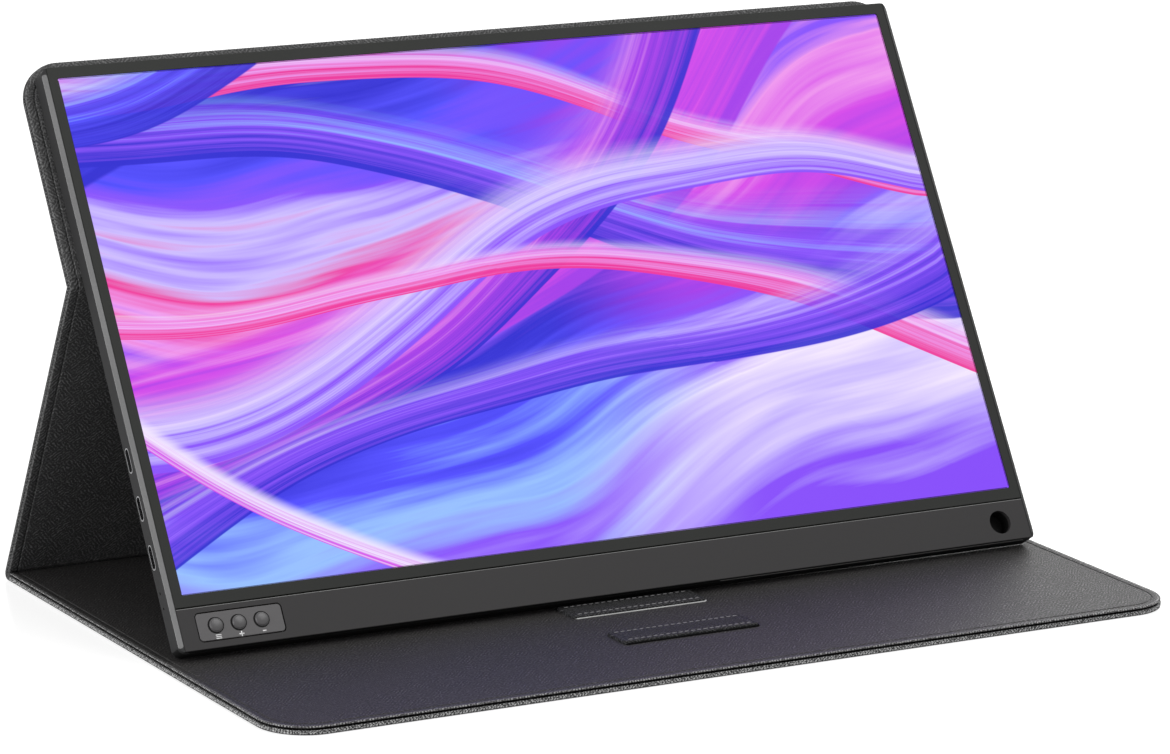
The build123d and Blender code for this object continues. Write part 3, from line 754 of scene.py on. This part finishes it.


# Band of a layer: at each step across the fold, a ring that follows the layer's stations on both sides,
# at the share of the way from its lower to its upper line. It is made in the pose at hand and joins neither body.
def foldBand(name, layer, pivot, firstWay, secondWay, outward, bodies, replaced):
    part, blendHalf, *spots = layer
    looks = layerLooks[part]
    finish = "foldLining" if (name, part) == ("rearFold", "Lining") else looks["finish"]
    lower, upper = foldLines(firstWay, secondWay, outward, spots)
    insets, heights, swells = np.array(looks["stations"], float).T[:3]
    shares = (heights - spots[0][0]) / (spots[1][0] - spots[0][0])
    walked = np.concatenate([[0], np.cumsum(np.linalg.norm(np.diff(lower, axis=0), axis=1))])
    phases = (2 * math.pi * walked / folio["ripplePitch"])[:, None] + 0 * insets
    edges = halfCover - insets + swells * np.sin(phases)
    sideX = np.concatenate([edges, -edges[:, ::-1]], axis=1)
    sideShare = np.concatenate([shares, shares[::-1]])[:, None]
    planes = lower[:, None, :] * (1 - sideShare) + upper[:, None, :] * sideShare
    places = np.empty((*sideX.shape, 3))
    places[..., 0] = sideX * mm
    places[..., 1:] = pivot[1:] + planes * mm
    maps = np.stack([sideX, np.broadcast_to(walked[:, None], sideX.shape)], -1) * mm
    rubs = np.stack([glintShare(phases[:, k], swells[k]) for k in range(len(insets))], axis=1)
    rubs = np.concatenate([rubs, rubs[:, ::-1]], axis=1)
    band = makePiece(name + part, places.reshape(-1, 3), ringFaces(*sideX.shape), maps.reshape(-1, 2),
                     finish, None, replaced, rubs=rubs.ravel())
    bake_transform(band)


for fold, bead, pivot, ways, bodies in (
        ("rear", "rear_fold_bead", rearPivot, (np.array([0, -1.0, 0]), strutWay), ("base", "strut")),
        ("crease", "crease_bead", creasePivot, (-strutWay, upward), ("strut", "monitor"))):
    for layer in folds[fold]["layers"]:
        foldBand(fold + "Fold", layer, pivot, *ways, folds[fold]["outward"], bodies,
                 [bead] if layer[0] == "Skin" else [])
print("folds made")

# Stop ridges: leather wrapped over a strip, crowned, with a row of stitches along the long edges
ridges = {"round": 0.62, "corner": 1.6, "stitchPitch": 2.5, "stitchLong": 1.8, "stitchHalf": 0.26,
          "stitchFlat": 0.7, "stitchSink": 0.06, "stitchRings": 7, "around": 8, "stitchInset": 1.9,
          "dip": 0.16, "crown": 0.12,
          "paleWelt": {"radius": 0.24, "out": 0.1, "start": 0.4, "hook": 2.4, "lift": 0.7},
          "darkWelt": {"radius": 0.42, "out": 0.25, "start": 0.2, "hook": 3.0, "lift": 0.3}}


# Row of stitches, all in one grid of stitch, ring and angle: each is a flattened tube along x, whose width
# follows the square root of 1 less the fourth power of the distance from its middle
def stitchRow(name, axes, x0, x1, s, top):
    rings, around = ridges["stitchRings"], ridges["around"]
    count = int((x1 - x0) / ridges["stitchPitch"])
    centres = x0 + (np.arange(count) + 0.5) * (x1 - x0) / count
    lengths = np.linspace(-1, 1, rings)
    swell = ridges["stitchHalf"] * np.sqrt(np.clip(1 - lengths ** 4, 0.04, 1))[:, None]
    cosines, sines = circle(around)
    spots = np.empty((count, rings, around, 3))
    spots[..., 0] = (centres[:, None] + lengths * ridges["stitchLong"] / 2)[..., None]
    spots[..., 1] = s + swell * cosines
    spots[..., 2] = top + swell * ridges["stitchFlat"] * sines
    faces = [[index + stitch * rings * around for index in face]
             for stitch in range(count) for face in ringFaces(rings, around)]
    ringPiece(name, axes, spots, "thread", "base", faces=faces)


# Ridge: a shell over the node's own outline, with rounded shoulders, a dip under each row of stitches and
# a crown along its middle
def stopRidge(name, node):
    low, high, axes = centredOn(node, baseAxes)
    half, deep = (high[0] - low[0]) / 2, (high[1] - low[1]) / 2
    shape = outlineShape(half, -deep, deep, ridges["corner"], ridges["corner"], 1.0, 10)
    top, bend, dip = high[2] - ridges["crown"], ridges["round"], ridges["dip"]
    inset = ridges["stitchInset"]
    stations = ([(0.6, low[2], 0, 0), (0.0, low[2] + 0.02, 0, 0)]
                + quarter((0.0, top - bend), (bend, top), 5)
                + [(inset + aside, top + rise, 0, 0) for aside, rise in
                   ((-0.6, 0), (-0.25, -dip), (0.25, -dip), (0.6, 0), (1.6, ridges["crown"] * 0.8),
                    (2.6, ridges["crown"]))])
    shell(name, axes, shape, stations, "outerLeather", "base", [node])
    for sideName, side in (("Front", 1), ("Rear", -1)):
        stitchRow(f"{name}Stitches{sideName}", axes, -half + inset, half - inset, side * (deep - inset),
                  top - ridges["stitchSink"])


# Thin cord laid along the front of a ridge and round its right end: a circle carried along a line of
# two straights and a quarter circle, with its ends drawn in to a point
def ridgeWelt(name, node, finish, setting):
    low, high = spanIn(node, baseAxes)
    radius, corner = setting["radius"], ridges["corner"]
    front, right = high[1] + setting["out"], high[0] + setting["out"]
    turn = np.linspace(0, math.pi / 2, 9)[1:-1, None]
    straight = np.linspace(low[0] + setting["start"], right - corner, 60)[:, None]
    upEnd = np.linspace(front - corner, front - corner - setting["hook"], 5)[:, None]
    bend = np.hstack([right - corner * (1 - np.sin(turn)), front - corner * (1 - np.cos(turn))])
    line = np.concatenate([np.hstack([straight, 0 * straight + front]), bend,
                           np.hstack([0 * upEnd + right, upEnd])])
    way = np.gradient(line, axis=0)
    way /= np.linalg.norm(way, axis=1)[:, None]
    aside = np.column_stack([way[:, 1], -way[:, 0]])
    cosines, sines = circle(ridges["around"])
    size = np.full((len(line), 1), radius)
    size[[0, -1]] = radius * 0.1
    spots = np.empty((len(line), len(sines), 3))
    spots[..., :2] = line[:, None] + aside[:, None] * (size * cosines)[..., None]
    spots[..., 2] = low[2] + radius * setting["lift"] + size * sines
    ringPiece(name, baseAxes, spots, finish, "base")


stopRidge("rearRidge", "rear_stop_ridge")
stopRidge("frontRidge", "front_stop_ridge")
ridgeWelt("rearRidgeWelt", "rear_stop_ridge", "paleWelt", ridges["paleWelt"])
# The front ridge's near-black cord is painted shadow under its front edge
ridgeWelt("frontRidgeWelt", "front_stop_ridge", "seamShade", ridges["darkWelt"])
print("ridges made")

# Screen: the lit film, a slab with softly rounded corners
screen = {"corner": 1.0, "edge": 0.03, "frontFlat": 0.3}


def litScreen():
    low, high = spanIn("front_polarizer", faceAxes)
    shape = outlineShape(high[0], low[1], high[1], screen["corner"], screen["corner"], 8.0, 8)
    edge = screen["edge"]
    stations = [(0.0, low[2], 0, 0), (0.0, high[2] - edge, 0, 0), (edge, high[2], 0, 0),
                (screen["frontFlat"], high[2], 0, 0)]
    shell("litScreen", faceAxes, shape, stations, "litPicture", "monitor",
          ["front_polarizer"], unitMap=True)


litScreen()

# Housing trims, all painted light: a painted highlight on the left chamfer and painted shade on the right one,
# a painted highlight on the lip under the right part of the chin and painted shade on its left part, black
# strips of painted shade under chin and housing, and a painted highlight along the chin's top edge
trims = {"cutAcross": 1.7, "cutDeep": 1.1, "cutGap": 0.04, "proud": 0.03, "thick": 0.05, "endGap": 1.9,
         "topGap": 2.4, "lipDeep": 1.6, "lipDrop": 0.25, "lipWidth": 0.16, "lipShade": 0.34,
         "lipStart": 40.0, "seamWidth": 0.2, "seamDrop": 0.42, "seamGap": 0.1, "corner": 3.0,
         "lipEndGap": 5, "shadeEndGap": 4, "stripTurn": 15, "chinStrip": (0.3, 1.55), "chinStripGap": 3.2,
         "chinStripRise": 0.3, "chinStripRound": 0.5, "shellStrip": (2.15, 7.1), "stripSteps": 10}


# Trim: a thin slab with rounded ends, half as wide on either side of its axis, standing proud by a hair
def trim(name, axes, half, long, finish):
    shape = outlineShape(half, 0.0, long, half * 0.8, half * 0.8, 6.0, 6)
    stations = [(0.1, -trims["thick"], 0, 0), (0.0, -trims["thick"] / 2, 0, 0), (0.0, 0.0, 0, 0),
                (min(0.08, half / 3), trims["proud"], 0, 0), (min(0.2, half / 2), trims["proud"], 0, 0)]
    shell(name, axes, shape, stations, finish, "monitor")


# Chamfer trims: a pale painted highlight on the left chamfer and painted shade on the right one
for sideName, side in (("left", -1), ("right", 1)):
    wide, deep = trims["cutAcross"], trims["cutDeep"]
    slant = math.hypot(wide, deep)
    edgeWay = (across * side * wide + inward * deep) / slant
    outWay = (across * side * deep - inward * wide) / slant
    spot = place(faceAxes, (side * (halfHousing - wide / 2), trims["endGap"], -deep / 2))
    trim(sideName + "CutEdge", makeAxes(spot, edgeWay, upward, outWay), slant / 2 - trims["cutGap"],
         housingTop - trims["endGap"] - trims["topGap"], "cutEdge" if side < 0 else "darkEdge")
lipOut = (-upward - inward) / math.sqrt(2)
lipWay = (inward - upward) / math.sqrt(2)
# The lip under the chin: a pale painted highlight on its right part and black painted shade on its left part
for name, x0, x1, width, finish in (
        ("lowerLip", trims["lipStart"], halfHousing - trims["lipEndGap"], trims["lipWidth"], "seamLine"),
        ("lowerLipShade", -halfHousing + trims["shadeEndGap"], trims["lipStart"], trims["lipShade"],
         "sleevePlastic")):
    lipSpot = place(faceAxes, (x0, trims["lipDrop"], -trims["lipDeep"] - trims["lipDrop"]))
    trim(name, makeAxes(lipSpot, lipWay, across, lipOut), width, x1 - x0, finish)
# Black strip of painted shade under the chin
chinUnder = makeAxes(place(faceAxes, (0, trims["chinStripRise"], 0)), across, inward, -upward)
shell("chinUnderStrip", chinUnder, outlineShape(halfHousing - trims["chinStripGap"], *trims["chinStrip"],
                                                trims["chinStripRound"], trims["chinStripRound"]),
      [(0.1, -0.1, 0, 0), (0.0, -0.08, 0, 0), (0.0, 0.02, 0, 0), (0.06, 0.04, 0, 0)],
      "sleevePlastic", "monitor")


# Black strip of painted shade under the shell: a thin rectangle carried along the underside
# and up round the two lower corners of the housing
def underShade(low, high):
    corner, outer, inner = trims["corner"], trims["proud"], -trims["thick"]
    turn = np.radians(np.linspace(trims["stripTurn"], 90, trims["stripSteps"]))
    arc = np.stack([np.cos(turn), -np.sin(turn)], -1)
    way = np.concatenate([arc * (-1, 1), arc[::-1]])
    centre = np.array([[side * (halfHousing - corner), corner] for side in (-1, 1)]).repeat(len(arc), 0)
    spots = np.empty((len(way), 4, 3))
    for k, (reachOut, depth) in enumerate(((outer, low), (outer, high), (inner, high), (inner, low))):
        spots[:, k, :2] = centre + way * (corner + reachOut)
        spots[:, k, 2] = -depth
    ringPiece("shellUnderStrip", faceAxes, spots, "sleevePlastic", "monitor",
              mapped=(0, 2))


underShade(*trims["shellStrip"])
chinHalf, chinTop = spanIn("chin_cover", faceAxes)[1][:2]
# A pale painted highlight along the chin's top edge, at its seam with the bezel
seamSpot = place(faceAxes, (-chinHalf + trims["seamGap"], chinTop - trims["seamDrop"] / 2, 0.0))
trim("chinSeam", makeAxes(seamSpot, upward, across, -inward), trims["seamWidth"] / 2,
     2 * (chinHalf - trims["seamGap"]), "seamLine")
print("housing trims made")

# Keys: a domed cap turned about its own axis, with a soft shoulder, a flange and a stem
keys = {"radius": 2.6, "stem": 1.2, "flangeBack": -2.6, "flangeFront": -2.1, "around": 48,
        "shoulderStart": 0.02, "shoulderIn": 0.28, "shoulderUp": 0.24, "shoulderSteps": 6,
        "domeInset": 0.42, "domeEdge": 0.3, "domeSteps": 9, "tip": 0.12,
        "signDrop": 4.2, "signThick": 0.05, "signRound": 0.225, "signLong": 1.9, "signWide": 0.42,
        "minusLong": 1.4, "menuBars": 3, "barLong": 2.2, "barWide": 0.3, "barPitch": 0.62,
        "gasketInner": 2.63, "gasketOuter": 3.0, "gasketShift": (-0.3, -0.08), "gasketProud": 0.03,
        "gasketDeep": 0.3}


# Profile from the back of the stem to the crown: the shoulder is a quarter ellipse, and the dome falls
# with the square of the distance from the axis
def domedKey(node):
    low, high, axes = centredOn(node, faceAxes)
    radius, stem, start = keys["radius"], keys["stem"], keys["shoulderStart"]
    flange, proud, back = (high[0] - low[0]) / 2, high[2], low[2]
    flangeBack, flangeFront = keys["flangeBack"], keys["flangeFront"]
    turn = np.linspace(0, math.pi / 2, keys["shoulderSteps"])
    shoulder = np.stack([radius - keys["shoulderIn"] * (1 - np.cos(turn)),
                         start + keys["shoulderUp"] * np.sin(turn)], -1)
    domed = np.linspace(radius - keys["domeInset"], keys["tip"], keys["domeSteps"])
    crown = proud - (domed / radius) ** 2 * (proud - keys["domeEdge"])
    profile = np.concatenate([[(stem, back), (stem, flangeBack), (flange, flangeBack),
                               (flange, flangeFront), (radius, flangeFront), (radius, start)],
                              shoulder, np.stack([domed, crown], -1)])
    spots = np.empty((len(profile), keys["around"], 3))
    spots[..., :2] = profile[:, :1, None] * np.stack(circle(keys["around"]), -1)
    spots[..., 2] = profile[:, 1:]
    ringPiece(node.replace("button_", "key_"), axes, spots, "keyPlastic", node, [node])
    keyShadow(node, axes)
    return axes


# Painted shadow of the key in its hole: a dark closed ring whose inner circle hugs the key and whose outer
# circle is set off to the lower left, so it is widest there and runs out at the upper right
def keyShadow(node, axes):
    around, deep, proud = keys["around"], -keys["gasketDeep"], keys["gasketProud"]
    ways = np.stack(circle(around), -1)
    inside, outside = ways * keys["gasketInner"], ways * keys["gasketOuter"] + keys["gasketShift"]
    section = np.array([(0, deep), (0, 0), (0.1, proud), (0.9, proud), (1, 0), (1, deep)])
    share = section[:, :1, None]
    spots = np.empty((len(section), around, 3))
    spots[..., :2] = inside * (1 - share) + outside * share
    spots[..., 2] = section[:, 1:]
    grid = np.arange(len(section) * around).reshape(len(section), around)
    turned, nextRing = np.roll(grid, -1, 1), np.roll(grid, -1, 0)
    faces = np.stack([grid, turned, np.roll(nextRing, -1, 1), nextRing], -1).reshape(-1, 4).tolist()
    ringPiece(node.replace("button_", "gasket_"), axes, spots, "sleevePlastic", "monitor",
              faces=faces)


# Painted bar of a sign under a key: a thin rounded slab on the plate
def signBar(name, keyAxes, rise, long, wide, ways=(across, upward)):
    spot = place(keyAxes, (0, rise - keys["signDrop"], 0))
    rounding = wide * keys["signRound"]
    shape = outlineShape(long / 2, -wide / 2, wide / 2, rounding, rounding, 1.0, 5)
    stations = [(0.0, -0.04, 0, 0), (0.0, keys["signThick"] - 0.02, 0, 0), (0.03, keys["signThick"], 0, 0)]
    shell(name, makeAxes(spot, *ways, -inward), shape, stations, "signPaint", "monitor")


keyAxes = domedKey("button_menu")
for bar in range(keys["menuBars"]):
    signBar(f"menuSign{bar}", keyAxes, (bar - 1) * keys["barPitch"], keys["barLong"], keys["barWide"])
keyAxes = domedKey("button_plus")
signBar("plusSign", keyAxes, 0, keys["signLong"], keys["signWide"])
signBar("plusSignUpright", keyAxes, 0, keys["signLong"], keys["signWide"], (upward, across))
signBar("minusSign", domedKey("button_minus"), 0, keys["minusLong"], keys["signWide"])
print("keys and signs made")

# Stage: a white floor that keeps the shadow and a faint reflection, under soft light
stage = {"half": 6.0, "drop": 0.0002, "floorColour": 0.42, "floorLift": 0.7, "gloss": 0.12, "shine": 0.1,
         "plainLevel": 0.6}


# 1 for rays from the camera, from a gloss or through a clear piece, which see the stage as white
def whiteRays(tree):
    rays = add(tree, "LightPath", {})
    seen = calc(tree, "MAXIMUM", rays.outputs["Is Camera Ray"], rays.outputs["Is Glossy Ray"])
    return calc(tree, "MAXIMUM", seen, rays.outputs["Is Transmission Ray"])


def makeFloor():
    half, drop = stage["half"], stage["drop"]
    mesh = bpy.data.meshes.new("floor")
    mesh.from_pydata([(x * half, y * half, -drop) for x, y in ((-1, -1), (1, -1), (1, 1), (-1, 1))],
                     [], [(0, 1, 2, 3)])
    floor = newObject("floor", mesh)
    material, tree, plain = newTree("floorWhite")
    tree.nodes.remove(plain)
    dull = add(tree, "BsdfDiffuse", {"Color": (*[stage["floorColour"]] * 3, 1)})
    shiny = add(tree, "BsdfGlossy", {"Color": (1, 1, 1, 1), "Roughness": stage["gloss"]})
    surface = add(tree, "MixShader", {0: stage["shine"], 1: dull.outputs[0], 2: shiny.outputs[0]})
    lift = add(tree, "Emission", {"Strength": calc(tree, "MULTIPLY", whiteRays(tree), stage["floorLift"])})
    both = add(tree, "AddShader", {0: surface.outputs[0], 1: lift.outputs[0]})
    tree.links.new(both.outputs[0], tree.nodes["Material Output"].inputs["Surface"])
    mesh.materials.append(material)


def makeWorld():
    world = bpy.data.worlds.new("studio")
    bpy.context.scene.world = world
    world.use_nodes = True
    tree = world.node_tree
    tree.nodes.clear()
    plain = add(tree, "Background", {"Color": (1, 1, 1, 1), "Strength": stage["plainLevel"]})
    white = add(tree, "Background", {"Color": (1, 1, 1, 1), "Strength": 1.0})
    chosen = add(tree, "MixShader", {0: whiteRays(tree), 1: plain.outputs[0], 2: white.outputs[0]})
    end = add(tree, "OutputWorld", {"Surface": chosen.outputs[0]})
    end.is_active_output = True


lamps = {
    "keyLamp": {"place": (0.9, -0.9, 1.9), "size": 1.4, "power": 26.0},
    "backLamp": {"place": (1.5, 1.3, 0.9), "size": 1.2, "power": 16.0},
    "fillLamp": {"place": (-1.85, -0.35, 0.5), "size": 1.2, "power": 32.0},
}
lampsAim = (0.0, 0.0, 0.05)


# Square lamps, each turned so that it faces the point that all are aimed at
def makeLamps():
    for name, setting in lamps.items():
        data = bpy.data.lights.new(name, "AREA")
        data.size, data.energy = setting["size"], setting["power"]
        back = unit(np.array(setting["place"]) - lampsAim)
        placeAimed(name, data, setting["place"], unit(np.cross([0, 0, 1.0], back)), back)


makeFloor()
makeWorld()
makeLamps()
bpy.context.scene.view_settings.view_transform = "Standard"
print("stage lit")
